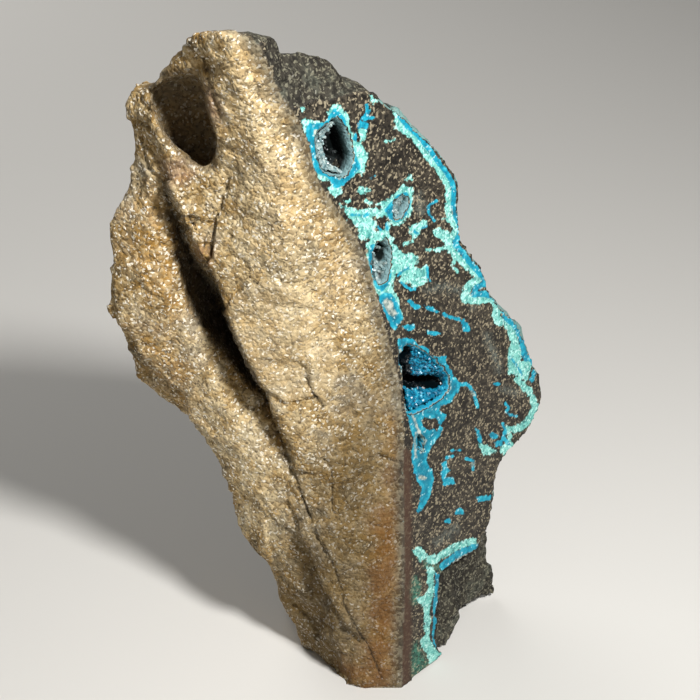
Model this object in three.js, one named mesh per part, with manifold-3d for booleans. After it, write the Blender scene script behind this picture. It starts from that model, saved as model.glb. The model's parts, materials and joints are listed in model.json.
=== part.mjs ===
// A raw chrysocolla specimen that stands on its sawn foot. Tan country rock carries a slab of dark
// brown matrix, sawn and polished on one side, whose open hollows are lined with crystal druses.
// Millimetres, +Z up, +Y away from the viewer. The origin is under the middle of the stone.

import * as THREE from "three";
import { ConvexGeometry } from "three/addons/geometries/ConvexGeometry.js";
import { LoftGeometry } from "three/addons/geometries/LoftGeometry.js";
import { ImprovedNoise } from "three/addons/math/ImprovedNoise.js";
import { TessellateModifier } from "three/addons/modifiers/TessellateModifier.js";
import { mergeVertices } from "three/addons/utils/BufferGeometryUtils.js";
import Module from "manifold-3d";

const wasm = await Module();
wasm.setup();

// Driving dimensions

const POLISHED_TURN = THREE.MathUtils.degToRad(45); // the polished face recedes to the right by this turn
const POLISHED_LEAN = THREE.MathUtils.degToRad(7); // and leans back by this much
const SAW_DEPTH = 5; // how far the loose sections run on below the foot before it is sawn flat
const LEVEL_STEP = 4; // between the horizontal sections of the country rock
const LEFT_EDGE_DEPTH = 10; // of the left outline behind the front foot corner
const FACET = 5.5; // longest edge of a facet on the broken stone
const FACET_ROUNDS = 12;
const SWELL = { size: 17, height: 1.5 }; // broad waves of a broken surface
const CHIP = { size: 5.5, height: 0.9 }; // the chips on them
const FLAT = 0.02; // a point this close to a sawn face stays on it
const CRUST_GAP = 0.35; // between a druse and the wall of its hollow
const CRUST_THICKNESS = 0.7;
const BIG = 400;

// Two directions in the polished face and the one into the stone. Its origin is the front foot corner.

const ALONG = new THREE.Vector3(Math.cos(POLISHED_TURN), Math.sin(POLISHED_TURN), 0);
const OUTWARD = new THREE.Vector3(
  Math.sin(POLISHED_TURN) * Math.cos(POLISHED_LEAN),
  -Math.cos(POLISHED_TURN) * Math.cos(POLISHED_LEAN),
  Math.sin(POLISHED_LEAN),
);

// The point of the polished face at a distance along it and a height, moved into the stone by a depth.
function onPolished(along, height, depth = 0) {
  const slide = height * Math.tan(POLISHED_LEAN);
  return new THREE.Vector3(
    along * ALONG.x - slide * Math.sin(POLISHED_TURN),
    along * ALONG.y + slide * Math.cos(POLISHED_TURN),
    height,
  ).addScaledVector(OUTWARD, -depth);
}

// Outlines of the polished face: [along it, height]

const CONTACT = [
  [-0.5, -5], [0, 0], [2.8, 20], [4.4, 38], [5.4, 48], [5, 57], [2.6, 67.5], [0.7, 77.5],
  [-3, 84.5], [-7.5, 91.5], [-9, 99], [-13.5, 108], [-18.5, 119],
];
const RIM = [
  [10.4, -5], [10.6, 1], [9.5, 5], [10.7, 12], [11.5, 17.5], [21, 17], [24.5, 21], [26.5, 28], [28, 31],
  [35, 33], [38.5, 36], [40, 38], [39.5, 43], [37, 48], [34.5, 53.5], [31.5, 57], [27.5, 62.5], [26, 67.5],
  [22, 73], [21, 79], [21.5, 82.5], [18.5, 87.5], [14, 92.5], [9.5, 97], [4, 101.5], [-1, 102], [-9, 101.5],
];

// Ribs of the country rock, from the foot up: [height, x, y]

const RIBS = {
  contact: CONTACT.map(([along, height]) => {
    const point = onPolished(along, height);
    return [height, point.x, point.y];
  }),
  frontMiddle: [
    [-5, -9.7, 0], [0, -9.7, 0], [12, -11.5, 1], [36, -12.5, 3.5], [60, -14.5, 4], [84, -18, 1.5],
    [108, -23.5, -1], [119, -26, -2],
  ],
  stepEdge: [
    [-5, -13.3, 5.5], [0, -13.3, 5.5], [12, -15, 4.5], [24, -15.5, 4], [41, -16.7, 4], [50, -19.7, 3.5],
    [59, -23.2, 3.5], [70, -27.3, 4], [84, -32.3, 4.5], [92, -34.8, 5.5], [102, -36, 6], [119, -38, 8],
  ],
  crevice: [
    [-5, -13.7, 5.9], [0, -13.7, 5.9], [12, -15.4, 4.8], [24, -15.9, 4.2], [41, -17, 4.4], [50, -18.8, 9.5],
    [60, -21, 14], [72, -26, 14.5], [84, -31.8, 9.5], [92, -35.2, 6], [102, -36.4, 6.4], [119, -38.4, 8.4],
  ],
  leftMiddle: [
    [-5, -16, 8.5], [0, -16, 8.5], [12, -18.5, 7.5], [24, -21.5, 6], [41, -24, 6.5], [50, -27.5, 7.5],
    [60, -32.5, 8], [72, -36.5, 8], [84, -38, 7.5], [92, -37.5, 8], [102, -37.8, 8.5], [119, -40, 9],
  ],
  left: [
    [-5, -17.7], [0, -17.7], [6, -19.4], [11, -20.9], [17, -21.4], [20, -23.7], [23, -26.7], [28, -28.6],
    [35, -29.3], [40, -30.4], [44, -32.9], [47, -35], [51, -35.4], [54, -37.9], [57, -40], [61, -42],
    [65, -42.8], [67, -45.2], [70.5, -45.4], [74, -44], [79, -44.7], [82.5, -43.9], [86, -42.1],
    [90, -40.9], [96, -39.6], [104, -38.5], [119, -40],
  ].map(([height, x]) => [height, x, LEFT_EDGE_DEPTH]),
  underLeft: [
    [-5, -18.5, 15], [0, -18.5, 15], [17, -21, 16], [28, -26, 16], [40, -27, 17], [50, -31, 17],
    [60, -37, 17], [66, -41, 16], [75, -43, 15], [86, -41, 14], [96, -38.5, 14], [119, -38, 14],
  ],
  rearLeft: [
    [-5, -20.5, 22], [0, -20.5, 22], [17, -24, 23], [30, -29, 24], [38, -34, 24], [43, -39.5, 24],
    [47, -46, 24], [58, -47.4, 23], [66, -46, 22], [76, -42, 20], [90, -37, 17], [119, -33, 15],
  ],
  backLeft: [
    [-5, -19, 30], [0, -19, 30], [20, -21, 34], [34, -29, 34], [46, -38, 33], [58, -38, 32], [72, -35, 29],
    [88, -31, 23], [104, -29, 16], [119, -28, 12],
  ],
  backMiddle: [
    [-5, -5, 33], [0, -5, 33], [20, -6, 39], [40, -10, 43], [60, -12, 41], [76, -13, 35], [92, -16, 26],
    [108, -20, 15], [119, -22, 10],
  ],
  backRight: [
    [-5, 9, 27], [0, 9, 27], [20, 12, 35], [40, 13, 41], [60, 6, 38], [78, -1, 31], [94, -8, 22],
    [108, -14, 13], [119, -18, 7],
  ],
};

// Open hollows of the polished face: the outline of the mouth as [along, height], the depth, and how far
// the floor lies off the mouth

const HOLLOWS = {
  druse_upper: {
    outline: [[-7.5, 97], [-6.5, 98.2], [-3, 99.4], [-1.6, 97], [-0.7, 92.5], [-2.5, 91], [-6.5, 92.8]],
    depth: 7,
    floorShift: [1.2, 0],
    crystals: 14,
    color: 0xa9b5ad,
  },
  druse_small: {
    outline: [[6, 83.4], [9.4, 84.8], [10, 83.6], [9, 82.2], [7.6, 81.2]],
    depth: 3.2,
    floorShift: [0.3, 0],
    crystals: 5,
    color: 0xc9c6bd,
  },
  druse_long: {
    outline: [[2, 78], [3.6, 78.8], [5.4, 77.8], [4.8, 75], [4.2, 72.6], [2.6, 72.2], [1.9, 74.6]],
    depth: 4,
    floorShift: [0.4, 0.6],
    crystals: 7,
    color: 0xb9bab2,
  },
  druse_blue: {
    outline: [
      [6.1, 61.2], [8.6, 60.4], [13, 56.6], [16.4, 52], [16.4, 49.6], [12, 49], [7, 49.4], [6.3, 55],
    ],
    depth: 8,
    floorShift: [-0.8, -0.6],
    crystals: 20,
    color: 0x1583a8,
  },
};
const BARE_HOLLOW = {
  outline: [[8.4, 45], [10, 43.6], [9.4, 41.4], [8, 42.4]],
  depth: 2.5,
  floorShift: [0, 0],
};

// Solids

function solidOf(geometry) {
  const bare = geometry.index ? geometry.toNonIndexed() : geometry.clone();
  for (const name of Object.keys(bare.attributes)) {
    if (name !== "position") bare.deleteAttribute(name);
  }
  const merged = mergeVertices(bare, 1e-4);
  return new wasm.Manifold(
    new wasm.Mesh({
      numProp: 3,
      vertProperties: merged.attributes.position.array,
      triVerts: new Uint32Array(merged.index.array),
    }),
  );
}

function geometryOf(solid) {
  const mesh = solid.getMesh();
  const geometry = new THREE.BufferGeometry();
  geometry.setAttribute("position", new THREE.BufferAttribute(new Float32Array(mesh.vertProperties), 3));
  geometry.setIndex(new THREE.BufferAttribute(new Uint32Array(mesh.triVerts), 1));
  return geometry;
}

// The convex block around a few corners
function block(...corners) {
  return solidOf(new ConvexGeometry(corners.map((c) => (c.isVector3 ? c : new THREE.Vector3(...c)))));
}

// What is left of a solid after all of it beyond a plane is struck off
function cleave(solid, through, normal) {
  const away = new THREE.Vector3(...normal).normalize();
  const waste = new THREE.BoxGeometry(BIG, BIG, BIG);
  waste.applyQuaternion(new THREE.Quaternion().setFromUnitVectors(new THREE.Vector3(0, 0, 1), away));
  waste.translate(...new THREE.Vector3(...through).addScaledVector(away, BIG / 2));
  return solid.subtract(solidOf(waste));
}

function centreOf(outline) {
  return [0, 1].map((i) => outline.reduce((sum, corner) => sum + corner[i], 0) / outline.length);
}

// A block from near to far along Y, with the outline [x, z] in front and a drawn in one at the back
function recess(outline, near, far, shift = [0, 0], taper = 1) {
  const [cx, cz] = centreOf(outline);
  const back = outline.map(([x, z]) => [
    cx + (x - cx) * taper + shift[0],
    cz + (z - cz) * taper + shift[1],
  ]);
  return block(...outline.map(([x, z]) => [x, near, z]), ...back.map(([x, z]) => [x, far, z]));
}

// Country rock: a loft through horizontal sections, one point of each on every rib

function ribAt(rib, height) {
  const next = rib.findIndex(([h]) => h >= height);
  if (next <= 0) return new THREE.Vector3(rib[0][1], rib[0][2], height);
  const [h0, x0, y0] = rib[next - 1];
  const [h1, x1, y1] = rib[next];
  const share = (height - h0) / (h1 - h0);
  return new THREE.Vector3(x0 + (x1 - x0) * share, y0 + (y1 - y0) * share, height);
}

function countryRock() {
  const ribs = Object.values(RIBS).reverse();
  const top = Math.min(...ribs.map((rib) => rib.at(-1)[0]));
  const levels = Math.ceil((top + SAW_DEPTH) / LEVEL_STEP);
  const sections = [];
  for (let i = 0; i <= levels; i++) {
    const height = -SAW_DEPTH + ((top + SAW_DEPTH) * i) / levels;
    sections.push(ribs.map((rib) => ribAt(rib, height)));
  }
  let rock = solidOf(new LoftGeometry(sections, { capStart: true, capEnd: true }));

  // the top is broken away backwards and to the left from a ridge
  rock = cleave(rock, [-23, -1, 113.6], [0.08, 0.44, 0.89]);
  rock = cleave(rock, [-31, 2.5, 111.6], [-0.42, 0.45, 0.78]);
  rock = cleave(rock, [-37.5, 7, 103.8], [-0.7, 0.2, 0.68]);

  // a tooth stands at the upper left
  const tooth = block(
    [-40.6, 10, 98], [-40.4, 10, 101.5], [-39.2, 10, 104.6], [-36.8, 9, 101.5], [-36, 9, 97],
    [-39.5, 15, 97], [-38, 15, 102.5], [-36, 15, 100],
  );
  return rock.add(tooth);
}

// A lost chip has left a deep socket under the top edge, open towards the front and above. Below it a
// wedge of the front skin lies deeper.

function socket() {
  const mouth = [
    [-34.8, 108, 10], [-33.2, 109.2, 11], [-31, 110.2, 11], [-27.8, 110.4, 11], [-27.1, 105.7, 12.5],
    [-26.1, 101.6, 13], [-26.4, 96.6, 13], [-28.6, 97.2, 13], [-31.1, 98.6, 12.5], [-33.3, 101.6, 12],
    [-34.3, 105, 11],
  ]; // [x, z] of each corner in front of the stone, and the y of the floor behind it
  const near = -6;
  const slope = { side: -0.12, drop: 0.37 }; // of the socket, for each millimetre back
  const front = mouth.map(([x, z]) => [x, near, z]);
  const floor = mouth.map(([x, z, y]) => [x + slope.side * (y - near), y, z - slope.drop * (y - near)]);
  const wedge = [[-34.6, 92.6], [-27.4, 93.6], [-25.4, 90.5], [-28.2, 79], [-31.4, 84]];
  const chip = roughen(geometryOf(block(...front, ...floor)), 0.35);
  return solidOf(chip).add(recess(wedge, -8, 3.4));
}

// Dark matrix: the polished outline carried back into the stone, swelling out behind the sawn edge

function darkSlab() {
  const outline = [...CONTACT.filter(([, height]) => height < 101), ...[...RIM].reverse()];
  const [ca, ch] = [14, 55];
  const swelling = [[0, 1], [1, 1.02], [3.5, 1.05], [9, 1.03], [17, 0.78]];
  const sections = swelling.map(([depth, spread]) =>
    outline.map(([along, height]) =>
      onPolished(ca + (along - ca) * spread, ch + (height - ch) * spread, depth),
    ),
  );
  return solidOf(new LoftGeometry(sections, { capStart: true, capEnd: true }));
}

// The unpolished crown above the polished face, and the lumps that stand out behind its lower edge

function darkCrown() {
  return block(
    onPolished(-11, 101), onPolished(-2, 101.6), onPolished(4, 101), onPolished(-13.5, 108, 1),
    [-21.5, 3, 111.4], [-15.7, 9.5, 108.6], [-12.4, 10, 107.4], [-10.6, 10, 104.5], [-8, 18, 97],
    [-20, 14, 98],
  );
}

function lowerLumps() {
  const shelf = block(
    onPolished(10, 19, 5), onPolished(24, 19, 3.5), onPolished(29.5, 14, 5), onPolished(30, 7, 4),
    onPolished(29.4, 1, 4), onPolished(22, 2, 4), onPolished(9, 9, 4), onPolished(10, 18, 18),
    onPolished(27, 14, 16), onPolished(13, 4, 18),
  );
  const foot = block(
    onPolished(7, 12, 1.5), onPolished(17, 11, 3), onPolished(19, 2.5, 3.6), onPolished(15, -3, 1.6),
    onPolished(6, -5, 2), onPolished(6, 12, 16), onPolished(15, 6, 16), onPolished(10, -5, 16),
  );
  return shelf.add(foot);
}

// Hollows and their druses

// The convex hollow of an outline, drawn in all round by a distance. Its mouth runs out of the face.
function hollow({ outline, depth, floorShift }, inset = 0, mouth = 2) {
  const [cx, cz] = centreOf(outline);
  const ring = (share, shift, into) =>
    outline.map(([along, height]) => {
      const reach = Math.hypot(along - cx, height - cz);
      const drawn = (share * (reach - inset)) / reach;
      return onPolished(cx + (along - cx) * drawn + shift[0], cz + (height - cz) * drawn + shift[1], into);
    });
  const half = floorShift.map((s) => s * 0.6);
  return block(
    ...ring(1, [0, 0], -mouth),
    ...ring(1.04, half, (depth - inset) * 0.55),
    ...ring(0.62, floorShift, depth - inset),
  );
}

// A six-sided crystal with a pointed end, standing at a place along a direction
function crystal(place, direction, radius, length) {
  const shaft = new THREE.CylinderGeometry(radius * 0.9, radius, length * 0.6, 6);
  const tip = new THREE.ConeGeometry(radius * 0.9, length * 0.4, 6);
  tip.translate(0, length * 0.5, 0);
  const turned = geometryOf(solidOf(shaft).add(solidOf(tip)));
  turned.applyQuaternion(new THREE.Quaternion().setFromUnitVectors(new THREE.Vector3(0, 1, 0), direction));
  turned.translate(place.x, place.y, place.z);
  return solidOf(turned);
}

// A crust that lines the hollow, with crystals spread over it by the golden angle
function druse(site) {
  const outer = hollow(site, CRUST_GAP, -CRUST_GAP);
  const inner = hollow(site, CRUST_GAP + CRUST_THICKNESS, 2);
  let crust = outer.subtract(inner);
  const [cx, cz] = centreOf(site.outline);
  const span = Math.max(...site.outline.map(([a, h]) => Math.hypot(a - cx, h - cz)));
  const heart = onPolished(cx + site.floorShift[0] * 0.4, cz + site.floorShift[1] * 0.4, site.depth * 0.3);
  const ray = new THREE.Vector3();
  const wall = new THREE.Mesh(geometryOf(inner), new THREE.MeshBasicMaterial({ side: THREE.DoubleSide }));
  const caster = new THREE.Raycaster();
  for (let i = 0; i < site.crystals; i++) {
    const turn = i * Math.PI * (3 - Math.sqrt(5));
    const rise = ((i + 0.5) / site.crystals) * 0.9;
    const side = Math.sqrt(1 - rise * rise);
    ray.set(0, 0, 0)
      .addScaledVector(ALONG, Math.cos(turn) * side)
      .addScaledVector(OUTWARD, -rise)
      .add(new THREE.Vector3(0, 0, Math.sin(turn) * side))
      .normalize();
    caster.set(heart, ray);
    const hit = caster.intersectObject(wall)[0];
    if (!hit) continue;
    const size = 0.55 + 0.25 * Math.sin(i * 2.4);
    const place = hit.point.clone().addScaledVector(ray, 0.2);
    crust = crust.add(crystal(place, ray.clone().negate(), size * Math.min(1, span / 4), size * 2));
  }
  return geometryOf(crust.intersect(outer));
}

// Broken surfaces are waved and chipped; the sawn foot and the polished face stay flat.

function roughen(geometry, share = 1) {
  const fine = mergeVertices(new TessellateModifier(FACET, FACET_ROUNDS).modify(geometry), 1e-4);
  fine.computeVertexNormals();
  const noise = new ImprovedNoise();
  const wave = (p, { size, height }, from) =>
    height * noise.noise(p.x / size, p.y / size, p.z / size + from);
  const { position, normal } = fine.attributes;
  const point = new THREE.Vector3();
  const out = new THREE.Vector3();
  for (let i = 0; i < position.count; i++) {
    point.fromBufferAttribute(position, i);
    out.fromBufferAttribute(normal, i);
    const sawn = Math.abs(point.z) < FLAT;
    const polished = Math.abs(point.dot(OUTWARD)) < FLAT;
    if (polished) continue;
    const lift = share * (wave(point, SWELL, 0.5) + wave(point, CHIP, 7.5));
    point.addScaledVector(out, lift);
    if (sawn) point.z = 0;
    else point.z = Math.max(point.z, 0.15);
    position.setXYZ(i, point.x, point.y, point.z);
  }
  return fine;
}

function stone() {
  let rock = countryRock().add(darkSlab()).add(darkCrown()).add(lowerLumps());
  rock = cleave(rock, [0, 0, 0], [0, 0, -1]);
  const rough = solidOf(roughen(geometryOf(rock))).subtract(socket());
  const pits = Object.values(HOLLOWS).map((site) => hollow(site));
  return geometryOf([...pits, hollow(BARE_HOLLOW)].reduce((left, pit) => left.subtract(pit), rough));
}

// The specimen

const specimen = new THREE.Group();

function addPiece(name, geometry, color, roughness) {
  const mesh = new THREE.Mesh(geometry, new THREE.MeshStandardMaterial({ color, roughness, metalness: 0 }));
  mesh.name = name;
  specimen.add(mesh);
  return mesh;
}

const rock = addPiece("rock", stone(), 0x8c7350, 0.85);
for (const [name, site] of Object.entries(HOLLOWS)) {
  addPiece(name, druse(site), site.color, 0.25);
}

rock.geometry.computeBoundingBox();
const middle = rock.geometry.boundingBox.getCenter(new THREE.Vector3());
specimen.position.set(-middle.x, -middle.y, 0);

const part = new THREE.Group();
part.add(specimen);

export default part;
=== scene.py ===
import json
import math

import bmesh
import bpy
import numpy as np
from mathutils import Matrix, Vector, noise

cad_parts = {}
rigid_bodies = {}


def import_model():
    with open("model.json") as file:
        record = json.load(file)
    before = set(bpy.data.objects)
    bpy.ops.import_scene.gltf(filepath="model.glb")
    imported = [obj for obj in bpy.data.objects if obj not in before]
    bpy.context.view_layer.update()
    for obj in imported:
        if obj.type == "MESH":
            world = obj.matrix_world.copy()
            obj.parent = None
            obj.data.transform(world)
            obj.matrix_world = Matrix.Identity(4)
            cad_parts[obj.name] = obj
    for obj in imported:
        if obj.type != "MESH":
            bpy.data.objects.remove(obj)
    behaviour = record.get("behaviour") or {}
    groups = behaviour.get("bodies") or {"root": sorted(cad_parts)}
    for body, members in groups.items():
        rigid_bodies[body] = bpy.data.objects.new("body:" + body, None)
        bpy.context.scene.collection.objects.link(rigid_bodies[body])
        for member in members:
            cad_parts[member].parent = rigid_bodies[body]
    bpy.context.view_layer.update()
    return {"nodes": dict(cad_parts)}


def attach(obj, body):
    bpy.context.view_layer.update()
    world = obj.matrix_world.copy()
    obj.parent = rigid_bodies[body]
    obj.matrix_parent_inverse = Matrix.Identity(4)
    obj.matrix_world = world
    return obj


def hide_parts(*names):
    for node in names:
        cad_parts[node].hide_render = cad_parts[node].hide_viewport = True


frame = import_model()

# The stone is one natural piece: tan, quartz-grained country rock grown against a vein of dark brown
# matrix. It was broken out by hand, then its foot was sawn flat and one side of the vein was lapped to
# a satin face, which cuts across bands of chrysocolla and the mouths of open hollows.

MM = 0.001
GRAIN_STEP = 0.86 * MM  # between the points of the mesh on the back, halved on the visible side
FOOT_CORNER = np.array([11.2, -20.45, 0]) * MM  # where the two rocks meet at the foot, in front
FACE_TURN = math.radians(45)  # the lapped face recedes to the right
FACE_LEAN = math.radians(7)  # and leans back
ALONG = np.array([math.cos(FACE_TURN), math.sin(FACE_TURN), 0])
OUTWARD = np.array([
    math.sin(FACE_TURN) * math.cos(FACE_LEAN),
    -math.cos(FACE_TURN) * math.cos(FACE_LEAN),
    math.sin(FACE_LEAN),
])

# The eye stands in front of the stone and looks down on it. Marks are traced in the picture that it
# sees, which is 700 points wide and high.
LOOK_DOWN = math.radians(30)
EYE = np.array([2.365, -197.92, 168.615]) * MM
VIEW = np.array([0, math.cos(LOOK_DOWN), -math.sin(LOOK_DOWN)])
UPRIGHT = np.array([0, math.sin(LOOK_DOWN), math.cos(LOOK_DOWN)])
PICTURE = 700
FOCAL = 1400
POINT_MM = 0.17  # one picture point on the stone
FAR = 60.0  # stands for the gap to a mark that is nowhere near


def picture(places):
    ray = places - EYE
    reach = ray @ VIEW
    return np.stack([
        PICTURE / 2 + FOCAL * ray[:, 0] / reach,
        PICTURE / 2 - FOCAL * (ray @ UPRIGHT) / reach,
    ], axis=1)


def gap_to_line(points, line):
    nearest = np.full(len(points), np.inf)
    for start, end in zip(np.array(line, float), np.array(line[1:], float)):
        run = end - start
        share = np.clip((points - start) @ run / (run @ run), 0, 1)
        nearest = np.minimum(nearest, np.linalg.norm(points - start - share[:, None] * run, axis=1))
    return nearest


# How far points of the picture lie inside a set of marks, in picture points, and below zero outside
# them. An area is an outline, and a streak is a width and a line.
def inside(points, areas, streaks):
    deepest = np.full(len(points), -FAR)
    for outline in areas.values():
        ring = outline + outline[:1]
        within = np.zeros(len(points), bool)
        for (x0, y0), (x1, y1) in zip(ring, ring[1:]):
            if y0 != y1:
                crosses = (y0 > points[:, 1]) != (y1 > points[:, 1])
                within ^= crosses & (points[:, 0] < x0 + (points[:, 1] - y0) * (x1 - x0) / (y1 - y0))
        gap = gap_to_line(points, ring)
        deepest = np.maximum(deepest, np.where(within, gap, -gap))
    for width, line in streaks.values():
        deepest = np.maximum(deepest, width / 2 - gap_to_line(points, line))
    return deepest


# A share that rises from 0 to 1 across the edge of a mark, over a width
def rising(deep, width):
    return np.clip(0.5 + deep / width, 0, 1)


# Pale turquoise chrysocolla, the outer bands
PALE_AREAS = {
    "dash": [(297, 100), (301, 102), (303, 107), (306, 109), (303, 111), (300, 106)],
    "upper halo": [
        (300, 120), (305, 118), (312, 119), (320, 122), (326, 122), (330, 116), (327, 112), (331, 107),
        (337, 104), (342, 105), (344, 112), (348, 115), (349, 122), (350, 130), (353, 134), (354, 140),
        (359, 142), (361, 137), (357, 131), (358, 128), (363, 128), (367, 131), (366, 137), (362, 142),
        (363, 148), (369, 153), (367, 160), (365, 169), (362, 176), (357, 174), (352, 178), (346, 182),
        (341, 187), (341, 193), (335, 197), (331, 194), (327, 188), (333, 185), (331, 180), (322, 181),
        (317, 176), (315, 168), (313, 155), (312, 144), (307, 133), (303, 128),
    ],
    "tip": [(369, 90), (373, 90), (378, 95), (377, 101), (373, 105), (371, 100), (370, 95)],
    "branch": [(366, 106), (370, 109), (372, 110), (368, 114), (365, 111)],
    "island": [(357, 193), (359, 186), (364, 188), (370, 188), (371, 190), (365, 193), (361, 196)],
    "small halo": [
        (376, 204), (384, 200), (389, 199), (395, 193), (400, 189), (403, 185), (409, 187), (413, 188),
        (413, 197), (411, 206), (412, 213), (407, 218), (402, 224), (397, 226), (392, 224), (389, 219),
        (384, 216), (378, 218), (374, 215), (380, 210), (383, 206),
    ],
    "contact mass": [
        (340, 204), (347, 206), (352, 209), (360, 210), (370, 209), (377, 208), (380, 211), (376, 216),
        (372, 217), (374, 220), (378, 223), (377, 227), (372, 229), (376, 233), (383, 229), (388, 222),
        (390, 226), (388, 231), (390, 236), (395, 239), (392, 243), (387, 241), (382, 243), (377, 241),
        (372, 246), (369, 252), (366, 250), (366, 244), (371, 239), (366, 240), (361, 240), (358, 233),
        (357, 227), (352, 221), (347, 216), (343, 210),
    ],
    "patch": [
        (409, 226), (414, 225), (419, 223), (422, 220), (427, 221), (426, 226), (421, 229), (419, 235),
        (414, 239), (410, 235), (410, 230),
    ],
    "long halo": [
        (371, 245), (378, 240), (386, 243), (392, 243), (398, 247), (402, 253), (414, 254), (419, 256),
        (417, 263), (413, 266), (420, 269), (426, 266), (427, 272), (425, 278), (429, 282), (422, 284),
        (418, 287), (413, 287), (408, 283), (403, 285), (400, 281), (402, 276), (397, 274), (394, 280),
        (392, 287), (394, 292), (397, 296), (397, 304), (400, 312), (402, 318), (398, 317), (396, 308),
        (393, 299), (386, 294), (380, 296), (375, 292), (371, 285), (368, 276), (367, 266), (365, 257),
        (367, 250),
    ],
    "rim spur": [
        (393, 113), (399, 112), (401, 118), (405, 124), (410, 130), (404, 134), (399, 130), (392, 128),
        (397, 124), (396, 119),
    ],
    "rim blob": [
        (433, 231), (438, 228), (444, 229), (450, 232), (453, 236), (449, 240), (444, 242), (438, 238),
        (434, 236),
    ],
    "rim swelling": [
        (508, 348), (512, 341), (516, 336), (520, 345), (522, 353), (521, 361), (528, 360), (532, 366),
        (531, 375), (526, 381), (519, 379), (513, 375), (507, 372), (508, 362),
    ],
    "low spray": [
        (475, 441), (481, 444), (487, 444), (492, 449), (497, 451), (490, 455), (483, 454), (481, 449),
    ],
    "low corner": [(500, 447), (506, 444), (511, 441), (515, 444), (509, 450), (504, 455), (501, 452)],
    "ledge fan": [(411, 550), (416, 548), (421, 547), (427, 553), (425, 558), (421, 563), (417, 557)],
    "foot vein": [
        (427, 568), (434, 567), (434, 580), (434, 592), (432, 600), (430, 612), (430, 625), (429, 637),
        (433, 645), (437, 650), (443, 652), (441, 660), (437, 663), (433, 668), (429, 664), (428, 655),
        (423, 649), (420, 640), (425, 634), (423, 625), (425, 615), (421, 605), (416, 598), (423, 596),
        (428, 590),
    ],
}
PALE_STREAKS = {
    "rim thread": (2, [(380, 98), (388, 104), (394, 110)]),
    "rim upper": (8, [
        (398, 121), (406, 130), (414, 137), (420, 145), (427, 154), (434, 163), (441, 172), (446, 180),
        (449, 190), (449, 200), (449, 211), (450, 219), (455, 224), (456, 231), (453, 237), (448, 241),
    ]),
    "rim thorn": (3, [(427, 250), (436, 250), (444, 248), (450, 246)]),
    "rim middle": (8, [
        (449, 244), (453, 251), (458, 257), (465, 263), (470, 268), (476, 273), (480, 278), (476, 282),
        (470, 284), (468, 289), (465, 295), (467, 300), (475, 301), (484, 299), (492, 299), (497, 303),
        (498, 309), (496, 316), (497, 321), (505, 323), (511, 329), (514, 336), (515, 345),
    ]),
    "rim lower": (7, [
        (518, 380), (523, 386), (529, 391), (533, 398), (535, 406), (532, 415), (527, 422), (521, 428),
        (514, 430), (507, 428),
    ]),
    "low wave": (3, [(508, 429), (511, 434), (510, 441), (506, 446)]),
    "speck a": (2.5, [(386, 142), (390, 141), (394, 139)]),
    "speck b": (3, [(407, 180), (410, 176), (412, 180)]),
    "speck c": (4, [(366, 201), (370, 203)]),
    "speck d": (3, [(346, 202), (350, 201)]),
    "speck e": (2, [(441, 219), (448, 218)]),
    "speck f": (3, [(404, 244), (412, 241)]),
    "cell edge": (2.5, [(397, 298), (398, 306), (401, 314), (399, 318)]),
    "spur": (3, [(450, 252), (456, 259), (452, 266), (458, 272)]),
    "ledge": (8, [(430, 560), (439, 557), (446, 553), (453, 548), (462, 544), (474, 542)]),
}

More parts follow.
